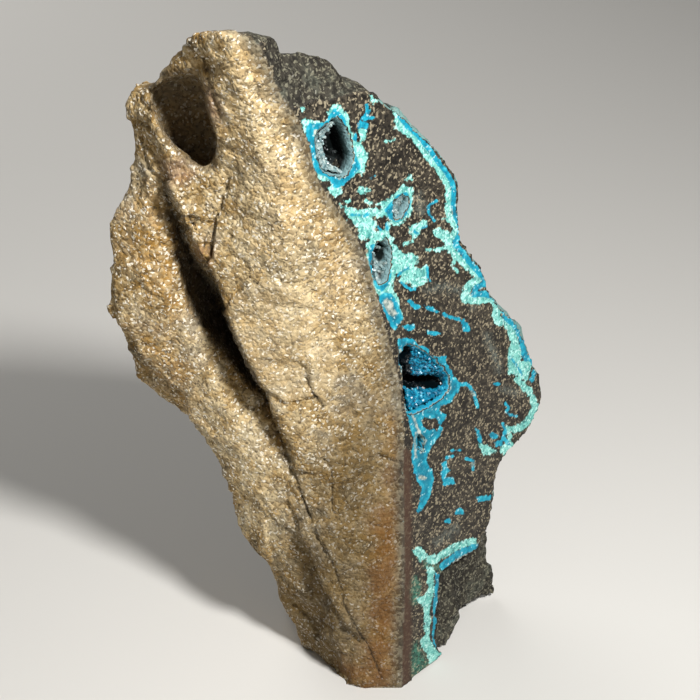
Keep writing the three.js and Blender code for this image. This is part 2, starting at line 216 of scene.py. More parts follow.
# Teal to cerulean chrysocolla, the inner bands
BLUE_AREAS = {
    "upper nook": [(352, 139), (356, 133), (358, 138), (356, 142)],
    "branch": [
        (364, 104), (368, 104), (369, 109), (372, 111), (369, 115), (374, 117), (375, 119), (368, 120),
        (364, 121), (361, 119), (364, 114), (366, 110),
    ],
    "branch foot": [(356, 124), (360, 121), (366, 122), (369, 125), (367, 129), (361, 128), (357, 130)],
    "cell": [
        (379, 296), (385, 293), (391, 294), (395, 298), (398, 305), (401, 312), (403, 319), (399, 324),
        (395, 330), (391, 327), (389, 321), (385, 314), (382, 307), (379, 302)
    ],
    "bit a": [(402, 327), (407, 325), (413, 323), (416, 325), (414, 330), (408, 331)],
    "dart a": [(407, 301), (411, 299), (414, 303), (419, 305), (421, 308), (416, 310), (411, 306)],
    "dart b": [(422, 304), (430, 306), (438, 311), (441, 312), (435, 313), (428, 310)],
    "dart c": [(459, 320), (465, 319), (469, 326), (471, 331), (464, 332), (462, 327)],
    "bit b": [(427, 330), (432, 331), (437, 332), (443, 333), (438, 335), (432, 336), (428, 334)],
    "blue halo": [
        (398, 338), (406, 338), (414, 339), (417, 345), (423, 346), (429, 349), (429, 354), (437, 357),
        (446, 356), (446, 363), (452, 371), (453, 377), (458, 380), (460, 386), (458, 392), (454, 396),
        (452, 401), (446, 404), (440, 407), (439, 411), (446, 415), (445, 421), (440, 425), (436, 419),
        (429, 418), (424, 417), (421, 421), (423, 427), (428, 430), (433, 428), (437, 431), (440, 426),
        (443, 429), (440, 437), (435, 441), (431, 447), (428, 453), (426, 461), (432, 470), (434, 478),
        (432, 488), (429, 499), (424, 507), (419, 514), (416, 512), (419, 505), (420, 495), (422, 488),
        (418, 482), (414, 474), (411, 457), (412, 450), (414, 440), (412, 432), (409, 424), (405, 407),
        (405, 390), (400, 362),
    ],
    "drop": [
        (441, 463), (446, 461), (447, 466), (450, 470), (446, 473), (446, 477), (452, 477), (455, 484),
        (448, 485), (444, 486), (442, 479), (440, 473), (443, 468),
    ],
    "low finger": [(475, 427), (479, 430), (481, 436), (482, 443), (478, 443), (477, 434)],
    "low blob": [(488, 435), (492, 432), (498, 434), (498, 438), (492, 439)],
    "low bit": [(494, 442), (499, 440), (503, 441), (502, 446), (496, 447)],
    "dash": [(476, 497), (492, 495), (491, 500), (478, 502)],
    "low wedge": [(453, 515), (457, 509), (461, 508), (465, 514)],
    "low dot": [(444, 521), (448, 518), (451, 520), (450, 523), (446, 523)],
    "foot strip": [
        (435, 573), (441, 575), (442, 585), (440, 600), (439, 615), (437, 630), (438, 642), (443, 650),
        (438, 650), (433, 643), (432, 632), (433, 618), (433, 605), (435, 590),
    ],
}
BLUE_STREAKS = {
    "upper ring": (8, [
        (335, 113), (341, 120), (343, 128), (344, 136), (349, 146), (352, 154), (353, 160), (356, 167),
        (352, 171), (347, 177), (341, 182), (337, 184), (335, 180), (331, 175), (325, 172), (319, 170),
        (316, 160), (315, 150), (313, 142), (310, 134), (311, 127), (320, 127), (327, 126), (331, 121),
        (335, 113),
    ]),
    "small ring": (8, [
        (389, 210), (394, 205), (399, 199), (405, 196), (407, 201), (405, 209), (402, 215), (397, 218),
        (392, 216), (389, 210),
    ]),
    "long ring": (6, [
        (373, 247), (371, 256), (372, 265), (374, 273), (376, 280), (379, 286), (382, 288), (386, 284),
        (388, 277), (388, 270), (385, 263), (384, 257), (386, 250),
    ]),
    "mass streak": (2.5, [(351, 215), (357, 215), (364, 216), (368, 214)]),
    "mass dot": (2.5, [(378, 226), (381, 230)]),
    "mass edge": (2.5, [(386, 224), (387, 229)]),
    "patch dot": (3, [(414, 231), (417, 233)]),
    "patch edge": (2, [(422, 228), (426, 226)]),
    "hook": (3, [(436, 201), (431, 204), (428, 209), (430, 215), (434, 220)]),
    "halo edge a": (2.6, [(398, 275), (403, 271), (408, 268)]),
    "halo edge b": (2.6, [(401, 283), (406, 286), (411, 290), (415, 289)]),
    "halo edge c": (2.2, [(427, 268), (428, 276), (430, 281)]),
    "dart thread": (3.5, [(443, 314), (450, 317), (459, 319)]),
    "rim upper": (5, [
        (400, 117), (406, 125), (412, 130), (420, 138), (427, 147), (434, 156), (441, 166), (447, 174),
        (452, 182), (454, 192), (453, 202), (454, 212), (458, 221), (461, 229), (459, 236), (455, 241),
    ]),
    "rim middle": (6, [
        (455, 243), (459, 249), (465, 256), (471, 264), (478, 271), (484, 278), (484, 284), (476, 288),
        (474, 294), (484, 294), (494, 297), (502, 303), (505, 312), (506, 318), (515, 325), (520, 335),
        (523, 345), (525, 354), (529, 357),
    ]),
    "rim swelling": (4.5, [(529, 357), (534, 363), (535, 371), (532, 380)]),
    "rim slash": (1.8, [(510, 357), (517, 366), (523, 376)]),
    "rim fold": (4, [(523, 354), (526, 360)]),
    "low arc": (3, [(503, 424), (505, 431), (503, 438), (509, 444)]),
    "tail": (3.4, [(459, 384), (466, 384), (470, 387), (474, 393), (475, 400), (478, 407)]),
    "stray a": (2.6, [(505, 403), (509, 408), (506, 412), (510, 415), (516, 416)]),
    "stray b": (3, [(494, 384), (499, 384)]),
    "stray c": (2.5, [(371, 178), (375, 176)]),
    "stray d": (2.4, [(452, 451), (460, 450)]),
    "stray e": (3, [(466, 458), (473, 461), (473, 469)]),
    "stray f": (2.5, [(446, 458), (453, 456)]),
    "ledge": (7, [(443, 566), (450, 560), (460, 553), (470, 549), (477, 547)]),
}

# White to smoky quartz that fills or lines the hollows
QUARTZ_AREAS = {
    "upper lining": [
        (336, 116), (340, 122), (341, 130), (343, 138), (347, 147), (350, 155), (351, 161), (353, 167),
        (349, 171), (344, 177), (339, 180), (337, 178), (332, 173), (325, 169), (320, 167), (319, 158),
        (318, 149), (316, 140), (314, 134), (314, 130), (322, 130), (329, 128), (333, 123),
    ],
    "small fill": [(392, 210), (396, 205), (400, 200), (404, 198), (403, 206), (401, 213), (397, 216)],
    "long fill": [
        (374, 252), (380, 249), (383, 252), (381, 260), (384, 268), (386, 274), (384, 281), (380, 284),
        (377, 279), (375, 270), (374, 262),
    ],
    "cell fill": [
        (383, 301), (387, 298), (392, 301), (394, 307), (396, 313), (396, 317), (391, 317), (387, 311),
        (384, 306),
    ],
    "spot": [(418, 475), (422, 475), (427, 478), (425, 480), (419, 479)],
    "tail spot": [(470, 391), (473, 390), (475, 395), (472, 396)],
    "stray spot": [(470, 464), (473, 461), (476, 464), (472, 467)],
}
QUARTZ_STREAKS = {
    "blue lining": (2, [
        (433, 363), (440, 370), (446, 377), (450, 384), (450, 389), (446, 393), (438, 395), (430, 396),
        (424, 400), (421, 406),
    ]),
    "contact crust": (2.4, [(400, 350), (402, 360), (403, 372), (405, 385), (406, 398), (407, 410)]),
    "hole lining a": (1.8, [
        (411, 412), (415, 422), (418, 430), (421, 436), (426, 440), (424, 446), (421, 453),
    ]),
    "hole lining b": (1.8, [(416, 433), (415, 441), (415, 449), (416, 457)]),
    "ledge crust": (3, [(452, 565), (458, 560), (465, 556), (474, 552)]),
}

# Green copper stains at the foot, and smoky translucent streaks in the matrix
GREEN_AREAS = {
    "foot": [(410, 655), (416, 641), (422, 652), (428, 662), (425, 672), (412, 679)],
    "stain": [(408, 590), (411, 578), (417, 576), (421, 584), (420, 598), (414, 606), (409, 600)],
    "corner": [(424, 560), (432, 560), (441, 566), (440, 572), (430, 568), (424, 566)],
}
SMOKE_STREAKS = {
    "streak a": (6, [(487, 337), (491, 348), (496, 360), (499, 370)]),
    "streak b": (6, [(505, 390), (520, 392)]),
    "streak c": (6, [(428, 290), (445, 287), (460, 291), (472, 306)]),
    "streak d": (7, [(418, 197), (421, 210)]),
    "streak e": (7, [(437, 543), (446, 536), (455, 528)]),
}

# Iron stains along the lower contact: a rusty stripe in the tan rock and a red-brown band beside it
RUST_STREAKS = {
    "stripe top": (8, [(396, 420), (395, 470), (392, 520)]),
    "stripe": (30, [(388, 520), (386, 580), (384, 620), (380, 655), (372, 690)]),
    "foot": (22, [(345, 676), (365, 672), (390, 668)]),
}
UMBER_STREAKS = {"band": (11, [(405, 455), (406, 500), (406, 560), (406, 620), (405, 690)])}
# Painted shade that darkens the lower front as the light falls off, painted light that makes the upper
# front and a face of the left mass paler, and pinkish patches
LOW_PAINTED_SHADE_AREAS = {
    "foot": [(270, 600), (300, 510), (335, 420), (396, 345), (404, 692), (330, 692), (290, 660)],
}
PAINTED_LIGHT_AREAS = {
    "front": [
        (222, 42), (262, 62), (290, 130), (330, 230), (352, 330), (300, 345), (240, 280), (226, 180),
    ],
    "thigh": [(190, 400), (215, 390), (250, 440), (275, 500), (280, 545), (250, 520), (215, 460)],
}
BLUSH_AREAS = {
    "collar": [(205, 84), (213, 90), (219, 112), (221, 125), (214, 124), (207, 112)],
    "brow": [(158, 160), (178, 158), (196, 172), (186, 186), (166, 182)],
    "wedge": [(196, 248), (212, 246), (210, 268), (202, 262)],
}

# Patches of ochre in the tan rock, where iron has weathered
OCHRE_AREAS = {
    "shoulder": [(238, 36), (262, 60), (274, 85), (280, 112), (266, 122), (250, 95), (238, 70)],
    "cheek": [
        (118, 240), (132, 208), (150, 190), (166, 215), (176, 262), (188, 305), (168, 330), (140, 290),
    ],
    "streak": [(264, 165), (292, 172), (304, 205), (306, 250), (288, 268), (266, 240)],
    "contact": [(314, 225), (336, 235), (348, 290), (344, 335), (326, 325), (318, 275)],
    "flank": [(130, 330), (160, 330), (190, 365), (205, 420), (185, 415), (150, 370)],
}

# The open hollows of the lapped face: the depth, and the corners of the mouth as the distance along the
# face and the height, all in mm
HOLLOWS = {
    "druse_upper": (7, [
        (-7.5, 97), (-6.5, 98.2), (-3, 99.4), (-1.6, 97), (-0.7, 92.5), (-2.5, 91), (-6.5, 92.8),
    ]),
    "druse_small": (3.2, [(6, 83.4), (9.4, 84.8), (10, 83.6), (9, 82.2), (7.6, 81.2)]),
    "druse_long": (4, [
        (2, 78), (3.6, 78.8), (5.4, 77.8), (4.8, 75), (4.2, 72.6), (2.6, 72.2), (1.9, 74.6),
    ]),
    "druse_blue": (8, [
        (6.1, 61.2), (8.6, 60.4), (13, 56.6), (16.4, 52), (16.4, 49.6), (12, 49), (7, 49.4), (6.3, 55),
    ]),
    "bare": (2.5, [(8.4, 45), (10, 43.6), (9.4, 41.4), (8, 42.4)]),
}
# What is on their walls: 1 is quartz, 2 is blue druse and 3 is bare matrix
LININGS = {"druse_upper": 1, "druse_small": 1, "druse_long": 1, "druse_blue": 2, "bare": 3}

# Cracks in the tan rock, each with its width in picture points
CRACKS = {
    "fissure": (1.6, [
        (266, 398), (275, 425), (286, 452), (291, 470), (297, 485), (304, 501), (312, 522), (318, 535),
        (328, 552), (333, 563), (338, 578), (342, 590), (344, 604), (348, 612), (358, 630), (368, 645),
        (376, 664), (383, 681),
    ]),
    "split": (1.6, [(324, 459), (330, 466), (332, 473), (331, 482), (333, 492), (332, 502), (334, 513)]),
    "nick": (1.6, [(307, 376), (309, 385), (312, 392), (318, 398), (324, 407)]),
    "wedge side": (2, [
        (227, 180), (226, 190), (222, 200), (221, 209), (216, 218), (213, 235), (210, 258),
    ]),
    "collar": (1.6, [(203, 58), (206, 68), (206, 78), (213, 90), (214, 100), (218, 108), (220, 116)]),
    "tooth root": (2, [(131, 121), (137, 122), (142, 124), (149, 128)]),
    "flake": (1.6, [(140, 128), (141, 140), (143, 150), (147, 168), (158, 176)]),
    "flake foot": (1.6, [(143, 182), (139, 190), (137, 196)]),
}
# The crevice: its lip, the bank where its floor comes up to the left, and how deep it is for its width
CREVICE_LIP = [
    (165, 183), (171, 198), (177, 213), (184, 232), (190, 247), (203, 268), (212, 283), (220, 297),
    (233, 330), (250, 363), (268, 398),
]
CREVICE_BANK = [
    (160, 180), (164, 197), (170, 225), (176, 253), (186, 303), (198, 325), (212, 343), (231, 365),
    (247, 384), (266, 402),
]
CREVICE_PITCH = 0.28  # mm for each picture point
CREVICE_CURVE = 1.3  # over 1, so the floor falls away faster towards the lip
# The wedge of skin between the socket and the crevice: its outline, and how far its face is from the
# eye at a level of the picture, in mm, and how that grows downwards
WEDGE = [
    (165, 183), (190, 172), (217, 174), (227, 181), (223, 207), (215, 227), (211, 258), (203, 268),
    (190, 247), (177, 213),
]
WEDGE_REACH, WEDGE_LEVEL, WEDGE_SLOPE = 200.2, 195, 0.055
WEDGE_SOFT = 2  # picture points over which it comes out
# Darkening in the socket, partly a dark brown stain and partly painted shade, and a black painted shadow in
# the crevice
SOCKET_STAIN_AND_SHADE_AREAS = {
    "socket": [
        (147, 88), (157, 74), (175, 67), (200, 68), (205, 88), (208, 107), (216, 137), (218, 172),
        (200, 169), (181, 159), (162, 138), (152, 113),
    ],
}
CREVICE_SHADOW_AREAS = {"crevice": CREVICE_LIP + CREVICE_BANK[::-1]}

# Broken steps of the skin, each with its height in mm and its outline
STEPS = {
    "wedge foot": (-0.7, [
        (172, 211), (185, 216), (192, 214), (204, 221), (217, 220), (211, 258), (203, 268), (190, 247),
    ]),
    "breast": (0.8, [
        (258, 283), (280, 282), (303, 289), (323, 305), (319, 321), (311, 329), (318, 360), (316, 395),
        (286, 402), (262, 385), (240, 345), (226, 312), (232, 296),
    ]),
    "scar": (0.6, [
        (308, 353), (320, 348), (335, 357), (338, 373), (330, 393), (324, 407), (312, 390), (307, 370),
    ]),
    "hip": (1, [(296, 525), (330, 520), (385, 530), (381, 560), (388, 592), (362, 640), (338, 612)]),
    "cheek": (0.6, [(112, 268), (126, 258), (150, 262), (172, 300), (168, 350), (140, 360), (118, 320)]),
    "thigh": (-0.9, [(262, 520), (288, 500), (310, 545), (330, 600), (318, 640), (288, 600), (270, 560)]),
    "chip": (-0.6, [(330, 650), (352, 655), (350, 684), (328, 676)]),
}
FRESH_STEPS = ("breast", "scar")  # those where the break is paler than the skin

shown = bpy.context.scene.collection.objects
stone = bpy.data.objects.new("stone", frame["nodes"]["rock"].data.copy())
shown.link(stone)
even = stone.modifiers.new("even grain", "REMESH")
even.mode = "VOXEL"
even.voxel_size = GRAIN_STEP
stone.data = bpy.data.meshes.new_from_object(stone.evaluated_get(bpy.context.evaluated_depsgraph_get()))
stone.modifiers.clear()

# The mesh is finer on the side seen here, and finest on the lapped face, where bands end sharply.
FACE_NEAR = 0.25 * MM  # off the plane of the face, or of the foot
FACE_SQUARE, SEEN_SQUARE = 0.97, 0.3  # how squarely a facet turns outward, or to the eye
FACE_CUTS, SEEN_CUTS = 2, 1
fine = bmesh.new()
fine.from_mesh(stone.data)
fine.faces.ensure_lookup_table()
centres = np.array([face.calc_center_median() for face in fine.faces])
facing = np.array([face.normal for face in fine.faces])
lapped = (np.abs((centres - FOOT_CORNER) @ OUTWARD) < FACE_NEAR) & (facing @ OUTWARD > FACE_SQUARE)
seen = (facing @ VIEW < -SEEN_SQUARE) & ~lapped
for chosen, cuts in (([fine.faces[i] for i in np.flatnonzero(lapped)], FACE_CUTS),
                     ([fine.faces[i] for i in np.flatnonzero(seen)], SEEN_CUTS)):
    edges = {edge for face in chosen if face.is_valid for edge in face.edges}
    bmesh.ops.subdivide_edges(fine, edges=list(edges), cuts=cuts, use_grid_fill=True)
bmesh.ops.triangulate(fine, faces=fine.faces[:])
fine.to_mesh(stone.data)
fine.free()


def read(values, name):
    flat = np.empty(len(values) * 3, np.float32)
    values.foreach_get(name, flat)
    return flat.reshape(-1, 3).astype(float)


def write_places(mesh, places):
    mesh.vertices.foreach_set("co", places.astype(np.float32).ravel())
    mesh.update()


POINT_SQUARE, FOOT_SQUARE = 0.8, 0.5  # how squarely a point of the face turns outward, or of the foot down
WALL_SPREAD, WALL_MORE = 0.7, 1  # mm that the wall of a hollow lies outside its mouth, or past its depth
places = read(stone.data.vertices, "co")
out = read(stone.data.vertex_normals, "vector")
height = places[:, 2]
depth = (places - FOOT_CORNER) @ OUTWARD
on_face = (np.abs(depth) < FACE_NEAR) & (out @ OUTWARD > POINT_SQUARE)
on_foot = (height < FACE_NEAR) & (out[:, 2] < -FOOT_SQUARE)
lining = np.zeros(len(places))
face_map = np.stack([(places - FOOT_CORNER) @ ALONG, height], axis=1) / MM
for name, (deep, outline) in HOLLOWS.items():
    in_mouth = inside(face_map, {"mouth": outline}, {}) > -WALL_SPREAD
    lining[in_mouth & ~on_face & (depth > -(deep + WALL_MORE) * MM)] = LININGS[name]
free = ~(on_face | on_foot | (lining > 0))

# The bare hollow is too narrow for the grain of the mesh, so it is sunk again in the lapped face.
bare_depth, bare_mouth = HOLLOWS["bare"]
BARE_WALL = 0.6  # mm that its wall slopes over
BARE_EDGE = 0.2  # share of its depth from which it has a wall's colour
bare_share = np.clip(inside(face_map, {"mouth": bare_mouth}, {}) / BARE_WALL, 0, 1) * on_face
places -= np.outer(bare_share * bare_depth * MM, OUTWARD)
lining[bare_share > BARE_EDGE] = LININGS["bare"]
on_face &= bare_share == 0

# The crevice is opened and the wedge brought out, both along the line of sight.
sight = places - EYE
reach = np.linalg.norm(sight, axis=1)
spots = picture(places)
turned = free & (out @ VIEW < 0)
lip_gap, bank_gap = gap_to_line(spots, CREVICE_LIP), gap_to_line(spots, CREVICE_BANK)
gully = (inside(spots, CREVICE_SHADOW_AREAS, {}) > 0) & turned
width = lip_gap + bank_gap
push = np.where(gully, CREVICE_PITCH * width * (bank_gap / width) ** CREVICE_CURVE, 0)
wedge_face = WEDGE_REACH + WEDGE_SLOPE * (spots[:, 1] - WEDGE_LEVEL)
wedge_share = rising(inside(spots, {"wedge": WEDGE}, {}), WEDGE_SOFT) * turned
push -= wedge_share * np.maximum(0, reach / MM - wedge_face)
places += sight / reach[:, None] * push[:, None] * MM

# The facets of the solid melt into one worn skin.
MELT_ROUNDS, MELT_SHARE = 2, 0.5  # how often, and how far, a point moves to the middle of its neighbours
pairs = np.empty(len(stone.data.edges) * 2, np.int32)
stone.data.edges.foreach_get("vertices", pairs)
near, far = pairs[0::2], pairs[1::2]
count = np.bincount(pairs, minlength=len(places))
for _ in range(MELT_ROUNDS):
    for axis in range(3):
        total = np.bincount(near, places[far, axis], len(places))
        total += np.bincount(far, places[near, axis], len(places))
        places[:, axis] += np.where(free, MELT_SHARE, 0) * (total / count - places[:, axis])
places[on_face] -= np.outer((places[on_face] - FOOT_CORNER) @ OUTWARD, OUTWARD)
places[on_foot, 2] = 0
write_places(stone.data, places)
out = read(stone.data.vertex_normals, "vector")

# The contact of the two rocks is a wall that stands square to the lapped face: heights, and the distance
# along the face, in mm.
CONTACT = [
    (-5, -0.5), (0, 0), (20, 2.8), (38, 4.4), (48, 5.4), (57, 5), (67.5, 2.6), (77.5, 0.7), (84.5, -3),
    (91.5, -7.5), (99, -9), (108, -13.5), (119, -18.5),
]
along = (places - FOOT_CORNER) @ ALONG / MM
vein = along - np.interp(places[:, 2] / MM, *zip(*CONTACT))
in_vein = vein > 0
NOISE_SEED = 3  # fixes the tilts of the facets, which would otherwise change with each run
noise.seed_set(NOISE_SEED)


def waves(places, size, shift):
    return np.array([noise.noise(Vector(p) / size + Vector((shift, 0, shift))) for p in places])


# Broken facets: each cell of a size is a plane with a tilt of its own, so cells meet in small ledges.
SEED_SPREAD = 3.7  # takes neighbouring cells so far apart in the noise that their tilts differ


def facets(places, size, shift):
    heights = np.empty(len(places))
    for i, place in enumerate(places):
        spot = Vector(place) / size + Vector((shift, shift, 0))
        seed = noise.voronoi(spot)[1][0]
        heights[i] = noise.noise_vector(seed * SEED_SPREAD).dot(spot - seed)
    return heights


def domes(places, size, shift):
    gaps = [noise.voronoi(Vector(p) / size + Vector((shift, 0, shift)))[0][0] for p in places]
    return 0.5 - np.array(gaps)


BROKEN = [  # forms of the tan rock's skin: the height and size in mm, and a shift of the noise
    (facets, 0.9, 9, 0), (facets, 0.55, 3.6, 5), (facets, 0.3, 1.5, 9), (waves, 0.12, 1, 3),
]
CRUSTY = [(domes, 0.6, 2.6, 0), (domes, 0.3, 1.4, 4), (facets, 1.6, 7, 6)]  # the same for the vein's
FRONT_SQUARE = 0.1  # how squarely a point of the front turns to the eye
spots = picture(places)
front = free & (out @ VIEW < -FRONT_SQUARE) & ~in_vein
lift = np.zeros(len(places))
for forms, skin in ((BROKEN, free & ~in_vein), (CRUSTY, free & in_vein)):
    for form, rise, size, shift in forms:
        lift[skin] += rise * form(places[skin], size * MM, shift)
EDGE_SOFT = 1.8  # picture points over which a step rises
for rise, outline in STEPS.values():
    lift[front] += rise * rising(inside(spots[front], {"step": outline}, {}), EDGE_SOFT)
CRACK_DEPTH = 0.6  # mm
CRACK_MORE = 0.18  # picture points that a crack is cut wider
crack = np.full(len(places), -FAR)
crack[front] = inside(spots[front], {}, CRACKS)
lift -= CRACK_DEPTH * rising(crack + CRACK_MORE, EDGE_SOFT)
# The broken surface dies out towards the lapped face.
FADE, FADE_REST = 1.2 * MM, 0.1  # over this distance, down to this share
lift *= np.clip(-(places - FOOT_CORNER) @ OUTWARD / FADE, FADE_REST, 1)
places[free] += out[free] * lift[free, None] * MM
places[:, 2] = np.maximum(places[:, 2], 0)
write_places(stone.data, places)
stone.data.shade_smooth()

spots = picture(places)
marks = {
    "pale": (on_face, PALE_AREAS, PALE_STREAKS),
    "blue": (on_face, BLUE_AREAS, BLUE_STREAKS),
    "quartz": (on_face, QUARTZ_AREAS, QUARTZ_STREAKS),
    "smoke": (on_face, {}, SMOKE_STREAKS),
    "green": (on_face, GREEN_AREAS, {}),
    "rust": (front, {}, RUST_STREAKS),
    "umber": (front | on_face, {}, UMBER_STREAKS),
    "blush": (front, BLUSH_AREAS, {}),
    "ochre": (front, OCHRE_AREAS, {}),
    "grime": (front, LOW_PAINTED_SHADE_AREAS, {}),
    "bleach": (front, PAINTED_LIGHT_AREAS, {}),
    "fresh": (front, {name: STEPS[name][1] for name in FRESH_STEPS}, {}),
    "crack": (front, {}, CRACKS),
    "soot": (free, SOCKET_STAIN_AND_SHADE_AREAS, {}),
    "gloom": (free, CREVICE_SHADOW_AREAS, {}),
}


def write_field(mesh, name, values):
    mesh.attributes.new(name, "FLOAT", "POINT").data.foreach_set("value", values.astype(np.float32))


for name, (where, areas, streaks) in marks.items():
    deep = np.full(len(places), -FAR)
    deep[where] = inside(spots[where], areas, streaks)
    write_field(stone.data, name, deep * POINT_MM)
write_field(stone.data, "lapped", on_face.astype(float))
RIM_LOW, RIM_TOP = 22 * MM, 100 * MM  # the heights between which the rim has a pale crust
behind = -(places - FOOT_CORNER) @ OUTWARD / MM
behind[(places[:, 2] < RIM_LOW) | (places[:, 2] > RIM_TOP)] = FAR
write_field(stone.data, "behind", behind)
write_field(stone.data, "lining", lining)
write_field(stone.data, "vein", vein)


# An sRGB hex colour as linear light
def rgb(code):
    parts = [int(code[i:i + 2], 16) / 255 for i in (1, 3, 5)]
    return [p / 12.92 if p <= 0.04045 else ((p + 0.055) / 1.055) ** 2.4 for p in parts] + [1]


# Adds a shader node. Its inputs are values, or pairs of a node and an output to link from.
def add(tree, kind, inputs={}, **settings):
    node = tree.nodes.new("ShaderNode" + kind)
    for name, value in settings.items():
        setattr(node, name, value)
    for name, value in inputs.items():
        if isinstance(value, tuple) and isinstance(value[0], bpy.types.Node):
            tree.links.new(value[0].outputs[value[1]], node.inputs[name])
        else:
            node.inputs[name].default_value = value
    return node


# Sets the stops of a colour ramp, each a place and a colour.
def shades(node, stops):
    ramp = node.color_ramp
    while len(ramp.elements) < len(stops):
        ramp.elements.new(0.5)
    for element, (place, code) in zip(ramp.elements, stops):
        element.position = place
        element.color = rgb(code)


# Lays a colour over another where a source runs from low to high, up to a most. A wave moves the edge
# of a mark to and fro by a depth in mm.
def layer(tree, under, over, source, low, high, most=1, wave=None, depth=0):
    if wave:
        centred = add(tree, "Math", {0: wave, 1: 0.5}, operation="SUBTRACT")
        waved = add(tree, "Math", {
            0: (centred, "Value"), 1: 2 * depth, 2: source}, operation="MULTIPLY_ADD")
        source = (waved, "Value")
    share = add(tree, "MapRange", {
        "Value": source, "From Min": low, "From Max": high, "To Max": most},
        interpolation_type="SMOOTHSTEP")
    return (add(tree, "Mix", {0: (share, "Result"), 6: under, 7: over}, data_type="RGBA"), 2)


# Country rock is a quartz-rich sandstone stained by iron: ochre and beige patches, pale and dark grains
# about half a millimetre across, and glints from clean quartz faces. The matrix is a fine dark
# brown rock with light grains, lapped to a satin. Chrysocolla in it is waxy and even.
rock = bpy.data.materials.new("quartz sandstone and chrysocolla matrix")
rock.use_nodes = True
tree = rock.node_tree
tree.nodes.clear()
here = (add(tree, "TexCoord"), "Object")
CLOUDS = {"broad": (16, 3), "mottle": (4, 7), "feather": (1.1, 5)}  # the size in mm, and the octaves
CRYSTALS = {"clast": 1.9, "fleck": 0.55, "speck": 0.32}  # mm; the real grains are finer still
SWIRL_SIZE, SWIRL_REACH = 1.1 * MM, 0.9 * MM  # of the noise that bends the grains out of shape
grain = {}
for name, (size, octaves) in CLOUDS.items():
    grain[name] = (add(tree, "TexNoise", {
        "Vector": here, "Scale": 1 / (size * MM), "Detail": octaves, "Roughness": 0.66}), "Fac")
swirl = add(tree, "TexNoise", {"Vector": here, "Scale": 1 / SWIRL_SIZE, "Detail": 3})
jitter = add(tree, "VectorMath", {
    0: (swirl, "Color"), 1: (0.5, 0.5, 0.5)}, operation="SUBTRACT")
bent = add(tree, "VectorMath", {
    0: (jitter, "Vector"), 1: (SWIRL_REACH,) * 3, 2: here}, operation="MULTIPLY_ADD")
cells = {}
for name, size in CRYSTALS.items():
    cells[name] = add(tree, "TexVoronoi", {
        "Vector": (bent, "Vector"), "Scale": 1 / (size * MM)})
    grain[name] = (cells[name], "Color")
field = {}
for name in [*marks, "lapped", "behind", "lining", "vein"]:
    field[name] = (add(tree, "Attribute", attribute_name=name), "Fac")

patches = add(tree, "Math", {0: grain["broad"], 1: grain["mottle"]}, operation="ADD")
half = add(tree, "Math", {0: (patches, "Value"), 1: 0.5}, operation="MULTIPLY")
TONES = {  # the colours that a noise runs through
    "tan": ((half, "Value"), [
        (0.38, "#65563d"), (0.44, "#8d7347"), (0.49, "#a78b5a"), (0.54, "#bba57d"), (0.6, "#a3957b")]),
    "matrix": (grain["mottle"], [(0.36, "#1d1914"), (0.5, "#2d2821"), (0.64, "#423c32")]),
    "skin": ((half, "Value"), [
        (0.4, "#1c1915"), (0.5, "#302c24"), (0.57, "#3d3a31"), (0.64, "#4d4e43")]),
    "pale": (grain["feather"], [
        (0.36, "#3d8c86"), (0.46, "#69b3a8"), (0.58, "#85c8bd"), (0.66, "#a6dcd3")]),
    "blue": (grain["feather"], [
        (0.36, "#076a80"), (0.46, "#0a8199"), (0.58, "#159ab2"), (0.68, "#5bbcc5")]),
    "white": (grain["feather"], [(0.38, "#4a6667"), (0.5, "#87968f"), (0.62, "#b9bfb4")]),
}
tone = {}
for name, (source, stops) in TONES.items():
    ramp = add(tree, "ValToRGB", {"Fac": source})
    shades(ramp, stops)
    tone[name] = (ramp, "Color")


# Lays stains, and painted light and shade, over a colour: each has a colour, a mark, the depth of the waves
# of its edge and the edge's softness in mm, and a strength.
def stain_and_shade(under, stains, wave):
    for code, mark, depth, soft, most in stains:
        under = layer(tree, under, rgb(code), field[mark], -soft, soft, most, grain[wave], depth)
    return under


# Strews grains over a colour: each kind has a colour, a noise, the values of it where the grain starts and
# is full, and a strength.
def grained(under, grains):
    for code, kind, low, high, most in grains:
        under = layer(tree, under, rgb(code), grain[kind], low, high, most)
    return under


WEATHERING_AND_PAINTED_LIGHT = [
    ("#a5782f", "ochre", 6, 2.5, 0.5),
    # painted light: paler where the upper front and the left mass face the light
    ("#dcc79c", "bleach", 9, 5, 0.55),
]
SAND_GRAINS = [
    ("#b0832f", "clast", 0.58, 0.68, 0.22),
    ("#857d68", "clast", 0.4, 0.3, 0.25),
    ("#dcc79c", "fleck", 0.6, 0.72, 0.4),
    ("#5e4b2e", "fleck", 0.38, 0.26, 0.4),
    ("#f6eedb", "speck", 0.76, 0.82, 0.75),
    ("#4e4638", "speck", 0.27, 0.2, 0.6),
]
STAINS_AND_PAINTED_SHADE = [
    # painted shade: the lower front darker towards the foot
    ("#463619", "grime", 9, 7, 0.68),
    ("#8e6a55", "blush", 2.5, 1.6, 0.5),
    ("#6a4210", "rust", 5, 2.6, 0.7),
    ("#d2bd96", "fresh", 1.2, 0.3, 0.3),
]
UMBER = ("#463022", "umber", 0.7, 0.5, 0.85)
# An umber stain, the socket's darkening, the crevice's black painted shadow, and dark cracks
DIRT_AND_PAINTED_SHADE = [
    UMBER,
    # the socket: partly a dark brown stain, partly painted shade
    ("#4a3c29", "soot", 0.5, 0.5, 0.6),
    # black painted shadow in the crevice
    ("#120d07", "gloom", 1.5, 1, 0.85),
    ("#1c150d", "crack", 0.2, 0.2, 0.85),
]
sand = grained(stain_and_shade(tone["tan"], WEATHERING_AND_PAINTED_LIGHT, "mottle"), SAND_GRAINS)
sand = stain_and_shade(stain_and_shade(sand, STAINS_AND_PAINTED_SHADE, "mottle"), DIRT_AND_PAINTED_SHADE, "feather")

